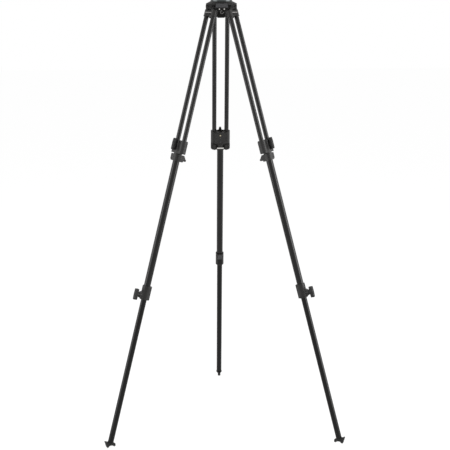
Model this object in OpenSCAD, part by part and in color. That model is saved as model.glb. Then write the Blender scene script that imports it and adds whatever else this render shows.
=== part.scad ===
// Camera tripod with a ball-levelling bowl: twin-tube upper legs, two telescopic stages
// per leg, wing-knob clamps, spreader collars and dual-spike feet. Millimetres, +Z up.
// The origin is the middle of the bowl's throat, on the tripod's upright axis.

/* [Crown] */
// Diameter of the half ball that the bowl takes
bowl_d = 75; // [65:1:80]
// Diameter of the throat under the bowl, for the head's tie-down bolt
throat_d = 48; // [40:1:52]
// Length of the throat's straight wall
throat_len = 6; // [4:0.5:8]
// Wall of the bowl insert
bowl_wall = 3.5; // [2.5:0.5:4.5]
// Width of the flat rim around the bowl
rim_w = 5; // [4:0.5:7]
// Thickness of the bowl insert's rim flange
rim_h = 8; // [5:0.5:9]
// Diameter of the crown's hood over the hinges
hood_d = 120; // [116:1:130]
// Drop from the rim to the hood's edge, the sloping shoulder
shoulder_drop = 16; // [12:0.5:17]
// Height of the hood's upright edge
hood_edge_h = 7; // [5:0.5:7]
// Height of the webs that hang under the hood between the legs
web_h = 10; // [8:0.5:12]
// Height of the lip under the front web, which carries the hook
lip_h = 9; // [8:0.5:12]
// Wall of the crown around the throat
hub_wall = 11.5; // [9:0.5:11.5]
// Length of the hub below the throat
hub_below = 8; // [2:0.5:9]

/* [Hinges] */
// Distance of the hinge axes from the tripod's axis
hinge_radius = 43.5; // [43:0.5:47]
// Drop of the hinge axes below the rim
hinge_drop = 34; // [33:0.5:36]
// Width of each crown lug
lug_w = 25; // [20:0.5:27]
// Radius of the lug and of the yoke's barrel around the hinge
barrel_r = 9.5; // [8:0.5:10]
// Diameter of the hinge bolts
hinge_bolt_d = 8; // [6:0.5:9]
// Thickness of the friction washers
washer_t = 0.8; // [0.5:0.1:1.2]
// Width of each yoke cheek
cheek_w = 15; // [12:0.5:16]

/* [Leg stance] */
// Angle of each leg from upright as the tripod stands
leg_angle = 16; // [10:0.5:20]

/* [Tubes] */
// Centre distance of the two upper tubes of a leg
tube_spacing = 51; // [48:1:56]
// Outside diameter of the upper tubes
upper_d = 18; // [14:0.5:18.5]
// Outside diameter of the middle tube
middle_d = 27; // [23:0.5:27.5]
// Outside diameter of the lower tube
lower_d = 23; // [17:0.5:23]
// Wall of all tubes
tube_wall = 1.2; // [1:0.1:1.6]
// Length of the yoke's tube sockets below the hinge axis
yoke_len = 34; // [30:1:44]
// Distance from the hinge axis to the top of the mid block
upper_reach = 526; // [450:1:600]
// Bare length of the middle tube between collar and clamp
middle_reach = 506; // [400:1:540]
// Bare length of the lower tube between clamp and foot
lower_reach = 589; // [560:1:650]

/* [Mid block] */
// Height of the mid block
block_h = 52; // [48:1:64]
// Wall of the block around each upper tube
block_wall = 5.5; // [3:0.5:7]
// Depth of the upper tubes in the block
block_socket = 30; // [20:1:40]
// Depth of the counterbore for the stop ring
counterbore_depth = 18; // [14:1:22]
// Wall of the nylon bush in the block
bush_wall = 1.5; // [1.2:0.1:2.5]
// Drop of the lever's axis below the block's top
mid_knob_drop = 24; // [24:1:32]
// Reach of the locking lever above its axis
mid_lever_up = 28; // [24:1:45]
// Reach of the locking lever below its axis
mid_lever_down = 18; // [8:0.5:20]

/* [Spreader collar] */
// Waist between the block and the spreader collar
waist_h = 4; // [3:0.5:8]
// Height of the spreader collar
collar_h = 27; // [22:1:32]
// Wall of the collar around the middle tube
collar_wall = 4.5; // [4:0.5:6]
// Reach of the spreader ears towards the tripod's axis
ear_reach = 26; // [25:0.5:26.5]
// Thickness of each spreader ear
ear_t = 9; // [6:0.5:9]
// Diameter of the spreader pin holes
ear_hole_d = 5.2; // [4:0.1:5.4]

/* [Lower clamp] */
// Height of the lower clamp
clamp_h = 56; // [52:1:70]
// Wall of the clamp around the middle tube
clamp_wall = 4; // [3:0.5:6]
// Depth of the middle tube in the clamp
clamp_socket = 22; // [16:1:22]
// Drop of the clamp knob's axis below the clamp's top
clamp_knob_drop = 39; // [34:1:40]
// Length of the clamp boss that carries the knob
clamp_boss_len = 11.5; // [10:0.5:18]
// Length of the clamp knob's wing
clamp_wing_len = 44; // [40:1:56]

/* [Knobs] */
// Diameter of the knobs' threaded studs
stud_d = 8; // [6:0.5:8]
// Radius of the bosses that carry the studs
boss_r = 9; // [8:0.5:10]
// Width of the wings across the leg
wing_w = 14; // [12:0.5:18]

/* [Feet] */
// Length of the foot's plug inside the lower tube
foot_plug_h = 24; // [16:1:30]
// Overhang of the foot's collar past the lower tube
foot_wall = 0.9; // [0.5:0.1:3]
// Half distance between the two spikes of a foot
spike_offset = 15; // [13:0.5:18]
// Drop from the end of the lower tube to the floor
foot_drop = 24; // [22:1:44]
// Width of the foot across the leg
foot_w = 12; // [11:0.5:16]
// Bare length of the steel spike tips
tip_len = 5; // [4:0.5:12]
// Radius of the blunt end of the spikes
tip_r = 1.2; // [0.8:0.1:2]

/* [Fits] */
// Radial clearance of running fits
running = 0.05; // [0.03:0.01:0.08]
// Gap between seated pieces
seat = 0.1; // [0.05:0.05:0.3]
// Gap between pieces that pass each other
pass = 0.4; // [0.3:0.1:0.8]

/* [Hidden] */
$fn = 64;
hull_fn = 24;
over = 1;

LEGS = ["rear", "left", "right"];
AZIMUTH = [90, 210, 330];
FRONT = 270;

// Crown levels, from the rim down
bowl_r = bowl_d / 2;
throat_r = throat_d / 2;
bowl_depth = sqrt(bowl_r * bowl_r - throat_r * throat_r);
rim_z = bowl_depth + throat_len / 2;
hood_r = hood_d / 2;
rim_r = bowl_r + rim_w;
insert_r = bowl_r + bowl_wall;
insert_bottom = rim_z - bowl_depth - throat_len;
shoulder_z = rim_z - shoulder_drop;
hood_z = shoulder_z - hood_edge_h;
web_z = hood_z - web_h;
lip_z = web_z - lip_h;
hub_r = throat_r + hub_wall;
hub_z = insert_bottom - hub_below;
hinge_z = rim_z - hinge_drop;
plate_t = 1;
plate_inset = 1.5;
plate_side = 1;
plate_taper = 3;

// Hinge widths, along the hinge axis
cheek_in = lug_w / 2 + washer_t;
cheek_out = cheek_in + cheek_w;
bolt_head_h = 3;
bolt_head_r = hinge_bolt_d / 2 + 2.5;
lug_r = barrel_r;
lug_step = 2;
web_gap = cheek_out + bolt_head_h + 4;
web_face = hood_r - 4.5;
web_back = 46;
lip_face = web_face;
lip_half = 14;
lip_wing_t = 2.6;
lip_wing_low = 19.4;
lip_wing_high = 33;
lip_wing_rise = 5;

// Leg stations, along the leg from its hinge, negative is down
upper_r = upper_d / 2;
middle_r = middle_d / 2;
bush_r = middle_r + bush_wall;
ring_r = bush_r + 0.4;
counterbore_r = ring_r + pass / 2;
half_spacing = max(tube_spacing / 2, upper_r + counterbore_r + 0.6);
middle_bore = middle_r - tube_wall;
lower_r = min(lower_d / 2, middle_bore - 0.8);
socket_r = upper_r + 2.5;
socket_top = -barrel_r + 1;
block_top = -upper_reach;
block_bottom = block_top - block_h;
collar_top = block_bottom - waist_h;
collar_bottom = collar_top - collar_h;
clamp_top = collar_bottom - middle_reach;
clamp_bottom = clamp_top - clamp_h;
tube_end = clamp_bottom - lower_reach;

// Mid block
block_r = upper_r + block_wall;
ring_h = 8;
ledge = block_top - counterbore_depth;
middle_top = ledge + pass + ring_h;
core_r = counterbore_r + 2.5;
waist_r = bush_r + 1.5;
mid_knob_z = block_top - mid_knob_drop;
mid_boss_end = core_r + 0.6;
stud_r = stud_d / 2;
shoe_h = 4;
screw_head_r = 3;
screw_head_h = 1.6;
screw_shank_r = 1.5;
screw_len = 6;
screw_drop = 15;
block_screw_len = core_r - counterbore_r - 0.5;

// Spreader collar
collar_r = middle_r + collar_wall;
collar_half = half_spacing + block_r;
arm_t = collar_wall + 4;
arm_out = arm_t - 2.5;
ear_out = half_spacing + 3.5;
ear_in = ear_out - ear_t;
ear_z = collar_bottom + 9;
ear_r = 4.5;
ear_shoulder = 15;
clip_w = 28;
clip_h = 5;
clip_t = 0.8;
clip_z = collar_bottom + 8;

// Lower clamp
clamp_r = middle_r + clamp_wall;
clamp_bush_r = middle_r - 0.5;
clamp_lip = 2;
clamp_knob_z = clamp_top - clamp_knob_drop;
clamp_boss_end = clamp_r + clamp_boss_len;
lower_top = clamp_top + 40;
guide_h = 20;
slab_w = 20;
slab_t = 0.4;

// Knobs
knob_gap = 0.5;
mid_hub_len = 1.6;
clamp_hub_len = 4;
mid_wing_t = 12.5;
clamp_wing_t = 14.5;
mid_tip_r = 2.5;
clamp_tip_r = 5.5;

// Feet, in a level frame at the end of the lower tube
plug_r = lower_r - tube_wall - running;
foot_collar_r = lower_r + foot_wall;
spike_base = -foot_drop + tip_len;
spike_neck = 3.2;
tip_shank = 8;
ear_tip_x = spike_offset + 10;
ear_tip_z = 8;
arch_z = spike_base + 5;
heel_z = spike_base + 10;
notch_z = 2.5;
arch_half = 5;
boss_top = -4;
foot_collar_h = 6;

// Hook under the front web
hook_plate_t = 3.6;
hook_half = 13;
hook_screw_x = 9.2;
hook_wire_r = 1.7;
hook_ring_r = 5.5;
hook_screw_z = web_z - lip_h * 0.45;
hook_y = lip_face + hook_plate_t / 2;
hook_plate_z = lip_z + 0.5;
hook_ring_z = hook_plate_z - hook_ring_r - hook_wire_r;

function leg_nodes(leg) = [for (part = ["yoke", "upper_tubes", "mid_block", "block_bush",
    "block_screws", "mid_knob", "spreader_collar", "collar_clip", "middle_tube", "stop_ring",
    "clamp_body", "clamp_bush", "clamp_knob", "lower_tube", "guide_sleeve", "foot", "spikes"])
    str(leg, "_", part)];

// A leg's own frame: hinge at the origin, the leg down -Z, +X away from the tripod's axis.
module leg_frame(azimuth) {
    rotate([0, 0, azimuth]) translate([hinge_radius, 0, hinge_z]) rotate([0, -leg_angle, 0])
        children();
}

// The hinge's frame with upright axes.
module hinge_frame(azimuth) {
    rotate([0, 0, azimuth]) translate([hinge_radius, 0, hinge_z]) children();
}

// A level frame at the end of the lower tube, inside the leg's frame.
module foot_frame() {
    translate([0, 0, tube_end]) rotate([0, leg_angle, 0]) children();
}

// A cylinder along Y from y0 to y1.
module bar_y(r, y0, y1) {
    translate([0, y0, 0]) rotate([-90, 0, 0]) cylinder(r = r, h = y1 - y0);
}

// A cylinder along X from x0 to x1.
module bar_x(r, x0, x1) {
    translate([x0, 0, 0]) rotate([0, 90, 0]) cylinder(r = r, h = x1 - x0);
}

// A cylinder along Z from z0 up to z1.
module bar_z(r, z0, z1) {
    translate([0, 0, z0]) cylinder(r = r, h = z1 - z0);
}

// A box between two corners.
module span(low, high) {
    translate(low) cube(high - low);
}

module tube(r, z0, z1) {
    difference() {
        bar_z(r, z0, z1);
        bar_z(r - tube_wall, z0 - over, z1 + over);
    }
}

// Mirrored pair across the leg.
module both_sides() {
    children();
    mirror([0, 1, 0]) children();
}

// Crown

module hood() {
    translate([0, 0, rim_z]) rotate_extrude() polygon([
        [hub_r - 1, -rim_h], [rim_r + 1.5, -rim_h], [hood_r, shoulder_z - rim_z],
        [hood_r, hood_z - rim_z], [hub_r - 1, hood_z - rim_z]]);
}

// One web under the hood, between two hinge bays and behind a flat face.
module web(azimuth) {
    half_front = (cos(30) * hood_r - web_gap) / sin(30);
    half_back = (cos(30) * web_back - web_gap) / sin(30);
    rotate([0, 0, azimuth + 180]) translate([0, 0, web_z]) linear_extrude(web_h + over) polygon([
        [web_back, -half_back], [hood_r, -half_front], [hood_r, half_front], [web_back, half_back]]);
}

// The lip under the front web: a block for the hook's screws behind a tapered apron.
module front_lip() {
    rotate([0, 0, FRONT]) {
        span([web_back, -lip_half, lip_z], [hood_r, lip_half, web_z + over]);
        translate([lip_face - lip_wing_t, 0, 0]) rotate([90, 0, 90]) linear_extrude(lip_wing_t + over)
            polygon([[-lip_wing_low, lip_z], [lip_wing_low, lip_z],
                [lip_wing_high, web_z + lip_wing_rise], [-lip_wing_high, web_z + lip_wing_rise]]);
    }
}

module lug(azimuth) {
    hinge_frame(azimuth) {
        bar_y(lug_r, -lug_w / 2, lug_w / 2);
        span([-hinge_radius + throat_r + bowl_wall, -lug_w / 2, lug_step - lug_r],
            [lug_step, lug_w / 2, hood_z - hinge_z + over]);
        span([-lug_step, -lug_w / 2, 0], [lug_r - lug_step, lug_w / 2, hood_z - hinge_z + over]);
    }
}

module crown_body() {
    color("#1d1d1e") difference() {
        union() {
            hood();
            bar_z(hub_r, hub_z, hood_z + over);
            for (azimuth = AZIMUTH) web(azimuth);
            front_lip();
            for (azimuth = AZIMUTH) lug(azimuth);
        }
        for (azimuth = AZIMUTH) rotate([0, 0, azimuth + 180])
            span([web_face, -hood_r, lip_z - over], [hood_d, hood_r, rim_z]);
        translate([0, 0, rim_z]) sphere(r = insert_r + seat);
        bar_z(throat_r + bowl_wall + seat, hub_z - over, rim_z - bowl_depth + over);
        for (azimuth = AZIMUTH)
            hinge_frame(azimuth) bar_y(hinge_bolt_d / 2 + running, -lug_w, lug_w);
        for (side = [-1, 1]) hook_screw_at(side) bar_x(screw_shank_r, -screw_len, over);
    }
}

module bowl_insert() {
    color("#8d9694") difference() {
        union() {
            bar_z(rim_r, rim_z - rim_h, rim_z);
            intersection() {
                translate([0, 0, rim_z]) sphere(r = insert_r);
                bar_z(insert_r + over, rim_z - bowl_depth, rim_z - rim_h + seat);
            }
            bar_z(throat_r + bowl_wall, insert_bottom, rim_z - bowl_depth + over);
        }
        translate([0, 0, rim_z]) sphere(r = bowl_r);
        bar_z(throat_r, insert_bottom - over, rim_z);
    }
}

module hinge_bolts() {
    color("#9a9a98") for (azimuth = AZIMUTH) hinge_frame(azimuth) {
        bar_y(hinge_bolt_d / 2, -cheek_out - bolt_head_h, cheek_out + bolt_head_h);
        both_sides() bar_y(bolt_head_r, cheek_out + seat, cheek_out + bolt_head_h);
    }
}

module hinge_washers() {
    color("#2b2b2b") for (azimuth = AZIMUTH) hinge_frame(azimuth) both_sides() difference() {
        bar_y(lug_r - 1, lug_w / 2, cheek_in - seat);
        bar_y(hinge_bolt_d / 2 + seat, 0, cheek_in + over);
    }
}

// Bare plates on the three web faces.
module web_plates() {
    half_bottom = (cos(30) * web_face - web_gap) / sin(30) - plate_side;
    half_top = half_bottom - plate_taper;
    height = web_h + hood_edge_h - plate_inset;
    color("#3b3b3d") for (azimuth = AZIMUTH)
        rotate([0, 0, azimuth + 180]) translate([web_face, 0, web_z + plate_inset])
            rotate([90, 0, 90]) linear_extrude(plate_t) polygon([[-half_bottom, 0],
                [half_bottom, 0], [half_top, height], [-half_top, height]]);
}

module hook_screw_at(side) {
    rotate([0, 0, FRONT]) translate([lip_face, side * hook_screw_x, hook_screw_z]) children();
}

module ballast_hook() {
    color("#2a2a2a") {
        difference() {
            rotate([0, 0, FRONT]) span([lip_face, -hook_half, hook_plate_z],
                [lip_face + hook_plate_t, hook_half, web_z - 0.5]);
            for (side = [-1, 1]) hook_screw_at(side) bar_x(screw_shank_r + seat, -over, hook_plate_t + over);
        }
        rotate([0, 0, FRONT]) translate([hook_y, 0, hook_ring_z]) {
            rotate([90, 90, 90]) rotate([0, 0, 200]) rotate_extrude(angle = 250)
                translate([hook_ring_r, 0]) circle(r = hook_wire_r, $fn = 24);
            bar_z(hook_wire_r, hook_ring_r - hook_wire_r, hook_plate_z - hook_ring_z + over);
        }
    }
}

module hook_screws() {
    color("#c9c9c6") for (side = [-1, 1]) hook_screw_at(side) {
        bar_x(screw_shank_r, -screw_len + 1, hook_plate_t + seat);
        bar_x(screw_head_r - 0.6, hook_plate_t, hook_plate_t + screw_head_h);
    }
}

// Leg, upper stage

module yoke() {
    crossbar_x = [-7, barrel_r - 0.5];
    crossbar_top = -barrel_r - pass;
    cheek_rise = barrel_r * 0.58;
    color("#1d1d1e") difference() {
        union() {
            both_sides() {
                bar_y(barrel_r, cheek_in, cheek_out);
                span([-barrel_r, cheek_in, -yoke_len * 0.6], [barrel_r, cheek_out, 0]);
                span([0, cheek_in, -over], [barrel_r, cheek_out, cheek_rise]);
                translate([0, half_spacing, 0]) bar_z(socket_r, -yoke_len, socket_top);
            }
            span([crossbar_x[0], -half_spacing, -yoke_len + 1], [crossbar_x[1], half_spacing, crossbar_top]);
        }
        both_sides() translate([0, half_spacing, 0])
            bar_z(upper_r + running, -yoke_len - over, socket_top - 2);
        bar_y(hinge_bolt_d / 2 + running, -hood_r, hood_r);
    }
}

module upper_tubes() {
    color("#29292a") both_sides() translate([0, half_spacing, 0])
        tube(upper_r, block_top - block_socket, socket_top - 2);
}

module mid_block() {
    color("#202021") difference() {
        union() {
            both_sides() translate([0, half_spacing, 0]) bar_z(block_r, block_bottom, block_top);
            span([-core_r, -half_spacing, block_bottom], [block_r, half_spacing, block_top - 2]);
            bar_z(core_r, block_bottom, block_top - 2);
            bar_z(waist_r, collar_top, block_bottom + over);
            translate([0, 0, mid_knob_z]) bar_x(boss_r, 0, mid_boss_end);
        }
        both_sides() translate([0, half_spacing, 0])
            bar_z(upper_r + running, block_top - block_socket, block_top + over);
        bar_z(counterbore_r, ledge, block_top + over);
        bar_z(bush_r, collar_top - over, ledge + over);
        translate([0, 0, mid_knob_z]) bar_x(stud_r + running, bush_r - over, mid_boss_end + over);
        block_screw_at() bar_x(screw_head_r + pass, -over, screw_head_h / 2);
        block_screw_at() bar_x(screw_shank_r, -over, block_screw_len);
    }
}

// On the block's face towards the tripod's axis, pointing into the block.
module block_screw_at() {
    translate([-core_r, 0, block_top - screw_drop]) children();
}

// Nylon bush and the brake shoe that the stud presses on the tube.
module stage_bush(r_out, r_in, z0, z1, shoe_z, stud_end) {
    difference() {
        bar_z(r_out, z0, z1);
        bar_z(r_in + running, z0 - over, z1 + over);
        translate([0, 0, shoe_z]) bar_x(stud_r + running, 0, r_out + over);
    }
    translate([0, 0, shoe_z]) difference() {
        bar_x(stud_r, 0, stud_end - seat);
        bar_z(r_in + seat, -stud_r - over, stud_r + over);
    }
}

module block_bush() {
    color("#d6d4cc") stage_bush(bush_r, middle_r, collar_top, ledge, mid_knob_z, middle_r + shoe_h);
}

module block_screws() {
    color("#c7b58c") block_screw_at() {
        bar_x(screw_head_r, screw_head_h / 2 - screw_head_h, screw_head_h / 2);
        bar_x(screw_shank_r, 0, block_screw_len - seat);
    }
}

// Wing knob on a stud along X: the stud from stud_end to the wing, the hub beyond boss_end.
// The wing reaches up and down from the stud's axis and narrows to rounded ends.
module wing_knob(stud_end, boss_end, hub_len, up, down, tip_radius, wing_t) {
    hub_start = boss_end + knob_gap;
    wing_start = hub_start + hub_len;
    down_r = min(tip_radius * 2, down - 1);
    color("#161616") union() {
        bar_x(stud_r, stud_end, wing_start + 1);
        bar_x(boss_r - 1, hub_start, wing_start + wing_t / 2);
        translate([wing_start, 0, 0]) hull() {
            translate([0, 0, up - tip_radius]) wing_round(tip_radius, wing_t);
            translate([0, 0, down_r - down]) wing_round(down_r, wing_t);
            wing_round(wing_w / 2, wing_t);
        }
    }
}

module wing_round(r, thick) {
    rotate([0, 90, 0]) cylinder(r = r, h = thick, $fn = hull_fn);
}

module mid_knob() {
    translate([0, 0, mid_knob_z]) wing_knob(middle_r + shoe_h, mid_boss_end,
        mid_hub_len, mid_lever_up, mid_lever_down, mid_tip_r, mid_wing_t);
}

// Spreader collar: arms across the leg, two ears towards the tripod's axis.
module spreader_collar() {
    color("#202021") difference() {
        union() {
            bar_z(collar_r, collar_bottom, collar_top);
            intersection() {
                span([-arm_t, -collar_half, collar_bottom], [arm_out, collar_half, collar_top]);
                rotate([90, 0, 90]) translate([0, 0, -arm_t]) linear_extrude(2 * arm_t) polygon([
                    [-collar_half, collar_top], [collar_half, collar_top],
                    [collar_half, collar_bottom + 6], [collar_half - 6, collar_bottom],
                    [6 - collar_half, collar_bottom], [-collar_half, collar_bottom + 6]]);
            }
            both_sides() spreader_ear();
        }
        bar_z(middle_r + pass, collar_bottom - over, collar_top + over);
        translate([ear_r - ear_reach, 0, ear_z]) bar_y(ear_hole_d / 2, -hood_r, hood_r);
    }
}

module spreader_ear() {
    translate([ear_r - ear_reach, 0, ear_z]) bar_y(ear_r, ear_in, ear_out);
    rotate([-90, 0, 0]) translate([0, 0, ear_in]) linear_extrude(ear_t) polygon([
        [0, -collar_top + 2], [-ear_shoulder, -collar_top + 2], [-ear_reach + 2, -ear_z - ear_r + 2],
        [ear_r - ear_reach, -ear_z + ear_r], [0, -ear_z + ear_r]]);
}

module collar_clip() {
    color("#d8d8d4") difference() {
        span([-collar_r - clip_t, -clip_w / 2, clip_z], [-collar_r + 4, clip_w / 2, clip_z + clip_h]);
        bar_z(collar_r + seat, collar_bottom, collar_top);
        span([-arm_t - seat, -collar_half, collar_bottom], [0, collar_half, collar_top]);
        translate([ear_r - ear_reach, 0, ear_z]) bar_y(ear_hole_d / 2, -hood_r, hood_r);
    }
}

// Leg, middle stage

module middle_tube() {
    color("#29292a") tube(middle_r, clamp_top - clamp_socket, middle_top);
}

module stop_ring() {
    color("#d6d4cc") difference() {
        bar_z(ring_r, middle_top - ring_h, middle_top);
        bar_z(middle_r + running, middle_top - ring_h - over, middle_top + over);
    }
}

module clamp_body() {
    color("#202021") difference() {
        union() {
            bar_z(clamp_r, clamp_bottom, clamp_top);
            translate([0, 0, clamp_knob_z]) bar_x(boss_r, 0, clamp_boss_end);
            rotate([90, 0, 0]) translate([0, 0, 1 - boss_r]) linear_extrude(2 * boss_r - 2) polygon([
                [0, clamp_knob_z + boss_r + 6], [clamp_r - 1, clamp_knob_z + boss_r + 6],
                [clamp_boss_end - 2, clamp_knob_z + boss_r], [clamp_boss_end - 2, clamp_knob_z - boss_r - 1],
                [clamp_r - 2, clamp_bottom + 1], [0, clamp_bottom + 1]]);
            span([-clamp_r - slab_t, -slab_w / 2, clamp_bottom], [0, slab_w / 2, clamp_top]);
        }
        bar_z(middle_r + running, clamp_top - clamp_socket, clamp_top + over);
        bar_z(clamp_bush_r, clamp_bottom + clamp_lip, clamp_top - clamp_socket + over);
        bar_z(lower_r + pass, clamp_bottom - over, clamp_bottom + clamp_lip + over);
        translate([0, 0, clamp_knob_z]) bar_x(stud_r + running, lower_r + over, clamp_boss_end + over);
    }
}

module clamp_bush() {
    color("#d6d4cc") stage_bush(clamp_bush_r - running, lower_r, clamp_bottom + clamp_lip,
        clamp_top - clamp_socket, clamp_knob_z, lower_r + shoe_h);
}

module clamp_knob() {
    translate([0, 0, clamp_knob_z]) wing_knob(lower_r + shoe_h, clamp_boss_end,
        clamp_hub_len, clamp_wing_len / 2, clamp_wing_len / 2, clamp_tip_r, clamp_wing_t);
}

// Leg, lower stage

module lower_tube() {
    color("#29292a") tube(lower_r, tube_end, lower_top);
}

module guide_sleeve() {
    color("#d6d4cc") difference() {
        bar_z(middle_bore - running, lower_top - guide_h, lower_top);
        bar_z(lower_r + running, lower_top - guide_h - over, lower_top + over);
    }
}

// Foot: a plug in the tube, a collar and a level bar with two spike holders and an outer ear.
module foot() {
    color("#181818") difference() {
        union() {
            bar_z(plug_r, tube_end - foot_collar_h, tube_end + foot_plug_h);
            bar_z(foot_collar_r, tube_end - foot_collar_h, tube_end - seat);
            foot_frame() rotate([90, 0, 0]) translate([0, 0, -foot_w / 2]) linear_extrude(foot_w) polygon([
                [ear_tip_x, ear_tip_z - 3], [spike_offset + spike_neck, spike_base],
                [spike_offset - spike_neck, spike_base], [arch_half + 3, arch_z],
                [3 - arch_half, arch_z], [-spike_offset + spike_neck, spike_base],
                [-spike_offset - spike_neck, spike_base], [-spike_offset - spike_neck, heel_z],
                [-foot_collar_r, boss_top - 0.5], [foot_collar_r, notch_z], [ear_tip_x - 1, ear_tip_z]]);
        }
        foot_frame() for (side = [-1, 1]) translate([side * spike_offset, 0, 0])
            bar_z(spike_neck - 1, spike_base - over, spike_base + tip_shank);
    }
}

module spikes() {
    color("#c4c4c0") foot_frame() for (side = [-1, 1]) translate([side * spike_offset, 0, 0]) {
        translate([0, 0, -foot_drop]) cylinder(r1 = tip_r, r2 = spike_neck - 0.3, h = tip_len);
        bar_z(spike_neck - 1, spike_base - over / 2, spike_base + tip_shank);
    }
}

// The pieces of one leg, each shown under its own name.
module leg(name, azimuth) {
    leg_frame(azimuth) {
        yoke();
        upper_tubes();
        mid_block();
        block_bush();
        block_screws();
        mid_knob();
        spreader_collar();
        collar_clip();
        middle_tube();
        stop_ring();
        clamp_body();
        clamp_bush();
        clamp_knob();
        lower_tube();
        guide_sleeve();
        foot();
        spikes();
    }
}

crown_body();
bowl_insert();
hinge_bolts();
hinge_washers();
web_plates();
ballast_hook();
hook_screws();
for (index = [0 : len(LEGS) - 1]) leg(LEGS[index], AZIMUTH[index]);
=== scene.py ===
"""Studio scene of a twin-tube camera tripod with a ball bowl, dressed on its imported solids."""

import logging
import math
from contextlib import contextmanager
from dataclasses import dataclass
from enum import Enum
from typing import Callable, Iterator, Sequence

import bmesh
import bpy
from mathutils import Matrix, Vector


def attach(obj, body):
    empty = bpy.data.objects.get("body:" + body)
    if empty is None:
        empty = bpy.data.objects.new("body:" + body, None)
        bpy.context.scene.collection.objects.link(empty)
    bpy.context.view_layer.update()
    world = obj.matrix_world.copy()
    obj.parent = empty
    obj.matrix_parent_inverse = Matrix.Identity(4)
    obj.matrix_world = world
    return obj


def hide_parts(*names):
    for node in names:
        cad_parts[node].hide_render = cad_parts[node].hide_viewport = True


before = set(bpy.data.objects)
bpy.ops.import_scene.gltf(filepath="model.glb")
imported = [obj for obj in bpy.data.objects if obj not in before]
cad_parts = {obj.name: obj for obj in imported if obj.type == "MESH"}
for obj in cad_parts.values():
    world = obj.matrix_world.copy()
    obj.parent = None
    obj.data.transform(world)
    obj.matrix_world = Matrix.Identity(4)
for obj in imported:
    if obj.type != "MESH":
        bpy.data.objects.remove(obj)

LOG = logging.getLogger("tripod")
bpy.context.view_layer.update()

Piece = bpy.types.Object
Material = bpy.types.Material
Socket = bpy.types.NodeSocket
Point = tuple[float, float, float]
Steps = tuple[tuple[float, float], ...]
FaceTest = Callable[[Vector, Vector], bool]

WHITE = (1.0, 1.0, 1.0, 1.0)
ORIGIN = (0.0, 0.0, 0.0)
SIDES = (-1.0, 1.0)

# Directions in a leg's own frame
OUT = (1.0, 0.0, 0.0)
IN = (-1.0, 0.0, 0.0)
UP = (0.0, 0.0, 1.0)
DOWN = (0.0, 0.0, -1.0)

# A face points one way if its normal has more than this share of it
FACING = 0.9

# Widths of rounded edges
HAIR = 0.0002
FINE = 0.0003
SMALL = 0.0004

# Edges sharper than this are rounded
SHARP = math.radians(35.0)
# Faces are shaded smooth across edges flatter than this
SMOOTH = math.radians(38.0)


class Leg(Enum):
    """The three legs, each with its azimuth in degrees."""

    REAR = 90.0
    LEFT = 210.0
    RIGHT = 330.0

    @property
    def word(self) -> str:
        """The leg's name as the solids use it."""
        return self.name.lower()


class Stage(Enum):
    """The moving bodies of one leg."""

    UPPER = "upper"
    MID_LEVER = "mid_lever"
    MIDDLE = "middle"
    CLAMP_WING = "clamp_wing"
    LOWER = "lower"

    def body(self, leg: Leg) -> str:
        """The name of this body on one leg."""
        return f"{leg.word}_{self.value}"


@dataclass(frozen=True)
class Stance:
    """Where a leg's own frame sits: hinge at its origin, the leg down -Z, +X outwards."""

    hinge_radius: float = 0.0435
    rim_z: float = 0.031814
    hinge_drop: float = 0.034
    angle: float = math.radians(16.0)
    tube_end: float = -1.76
    foot_drop: float = 0.024

    @property
    def hinge_z(self) -> float:
        """Height of the hinge axes."""
        return self.rim_z - self.hinge_drop

    @property
    def floor_z(self) -> float:
        """Height of the floor under the spikes."""
        return self.hinge_z + self.tube_end * math.cos(self.angle) - self.foot_drop

    def hinge(self, leg: Leg) -> Matrix:
        """Place of a leg's hinge in the tripod's frame.

        Args:
            leg: The leg that is meant.

        Returns:
            The matrix from an upright leg's frame to the tripod's.
        """
        turn = Matrix.Rotation(math.radians(leg.value), 4, "Z")
        return turn @ Matrix.Translation((self.hinge_radius, 0.0, self.hinge_z))

    def matrix(self, leg: Leg) -> Matrix:
        """Place of a leg's frame in the tripod's.

        Args:
            leg: The leg that is meant.

        Returns:
            The matrix from the leg's frame to the tripod's.
        """
        return self.hinge(leg) @ Matrix.Rotation(-self.angle, 4, "Y")


STANCE = Stance()


# Finishes


class Tree:
    """A node tree, with short ways to add to it."""

    def __init__(self, tree: bpy.types.NodeTree) -> None:
        """Take up the tree of a material or a world."""
        self.nodes = tree.nodes
        self.links = tree.links

    def add(self, kind: str, **values: object) -> bpy.types.Node:
        """Add a node.

        Args:
            kind: The node's type name without its prefix.
            values: Attributes of the node to set.

        Returns:
            The new node.
        """
        node = self.nodes.new(f"ShaderNode{kind}")
        for key, value in values.items():
            setattr(node, key, value)
        return node

    def link(self, source: Socket, target: Socket) -> None:
        """Join two sockets."""
        self.links.new(source, target)

    def either(self, first: Socket, second: Socket) -> Socket:
        """Take the larger of two values.

        Args:
            first: One value.
            second: The other.

        Returns:
            The larger one.
        """
        node = self.add("Math", operation="MAXIMUM")
        self.link(first, node.inputs[0])
        self.link(second, node.inputs[1])
        return node.outputs["Value"]

    def ramp(self, value: Socket, span: tuple[float, float], low: float, high: float) -> Socket:
        """Carry a value from one range to another, and hold it at the ends.

        Args:
            value: The value.
            span: Where its range starts and ends.
            low: Result at the start.
            high: Result at the end.

        Returns:
            The carried value.
        """
        node = self.add("MapRange")
        node.inputs["From Min"].default_value, node.inputs["From Max"].default_value = span
        node.inputs["To Min"].default_value = low
        node.inputs["To Max"].default_value = high
        self.link(value, node.inputs["Value"])
        return node.outputs["Result"]


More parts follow.
